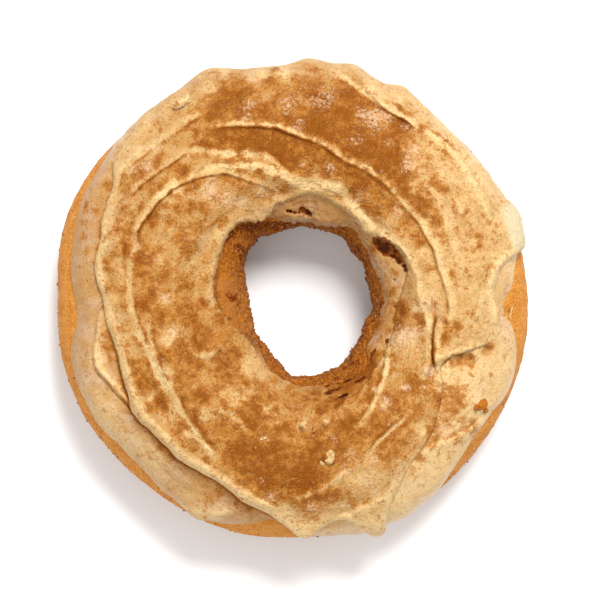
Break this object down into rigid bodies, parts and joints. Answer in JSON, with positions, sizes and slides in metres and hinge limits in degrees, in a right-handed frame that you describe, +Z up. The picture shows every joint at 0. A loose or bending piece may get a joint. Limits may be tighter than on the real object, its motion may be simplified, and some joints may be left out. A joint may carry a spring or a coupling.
{
  "type": "iced ring doughnut",
  "caption": "Ring doughnut with knife-swirled cinnamon sugar icing over its crown and a bare baked side, base and hole.",
  "frame": {"origin": "middle of the outline, on the surface that the doughnut rests on", "axes": "+Z up through the hole, +X to the right and +Y to the top as the doughnut is seen from above"},
  "size_m": [0.0941, 0.0964, 0.0311],
  "materials": {
    "crust": "baked golden brown dough, darker in the hole, matt with a faint sheen of fat",
    "icing": "cream to tan icing with a soft sheen, dusted with cinnamon sugar"
  },
  "bodies": {
    "root": {"dough": "crust", "icing": "icing"}
  },
  "joints": []
}
